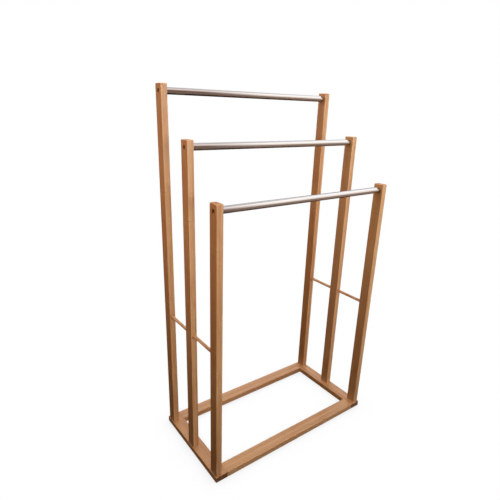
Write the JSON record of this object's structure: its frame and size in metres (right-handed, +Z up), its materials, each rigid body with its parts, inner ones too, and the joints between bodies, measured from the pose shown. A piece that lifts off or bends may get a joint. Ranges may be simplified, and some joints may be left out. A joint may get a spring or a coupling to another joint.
{
  "type": "towel rack",
  "caption": "Free-standing stepped towel rack: rectangular bamboo posts on a flat bamboo base frame, carrying round stainless steel bars at falling heights.",
  "frame": {"origin": "middle of the footprint of the base, on the floor", "axes": "+Z up; X along the bars, with the rack the same on both sides of it; -Y to the front, where the lowest tier stands, and +Y to the back, where the tallest posts stand"},
  "size_m": [0.47, 0.24, 0.825],
  "materials": {
    "bamboo": "laminated caramel bamboo, satin clear lacquer, eased edges",
    "stainless_tube": "polished stainless steel tube with faint lengthwise draw lines",
    "screw_steel": "black oxide steel, slightly oily",
    "plug_plastic": "moulded nylon, matt"
  },
  "bodies": {
    "root": {"bar_back": "stainless_tube", "bar_front": "stainless_tube", "bar_middle": "stainless_tube", "bar_plug_back_left": "plug_plastic", "bar_plug_back_right": "plug_plastic", "bar_plug_front_left": "plug_plastic", "bar_plug_front_right": "plug_plastic", "bar_plug_middle_left": "plug_plastic", "bar_plug_middle_right": "plug_plastic", "bar_screw_back_left": "screw_steel", "bar_screw_back_right": "screw_steel", "bar_screw_front_left": "screw_steel", "bar_screw_front_right": "screw_steel", "bar_screw_middle_left": "screw_steel", "bar_screw_middle_right": "screw_steel", "corner_pin_back_left_1": "bamboo", "corner_pin_back_left_2": "bamboo", "corner_pin_back_right_1": "bamboo", "corner_pin_back_right_2": "bamboo", "corner_pin_front_left_1": "bamboo", "corner_pin_front_left_2": "bamboo", "corner_pin_front_right_1": "bamboo", "corner_pin_front_right_2": "bamboo", "cross_rail_back": "bamboo", "cross_rail_front": "bamboo", "foot_screw_back_left": "screw_steel", "foot_screw_back_right": "screw_steel", "foot_screw_front_left": "screw_steel", "foot_screw_front_right": "screw_steel", "foot_screw_middle_left": "screw_steel", "foot_screw_middle_right": "screw_steel", "post_back_left": "bamboo", "post_back_right": "bamboo", "post_front_left": "bamboo", "post_front_right": "bamboo", "post_middle_left": "bamboo", "post_middle_right": "bamboo", "side_rail_left": "bamboo", "side_rail_right": "bamboo", "spacer_dowel_back_left": "bamboo", "spacer_dowel_back_right": "bamboo", "spacer_dowel_front_left": "bamboo", "spacer_dowel_front_right": "bamboo"}
  },
  "joints": []
}
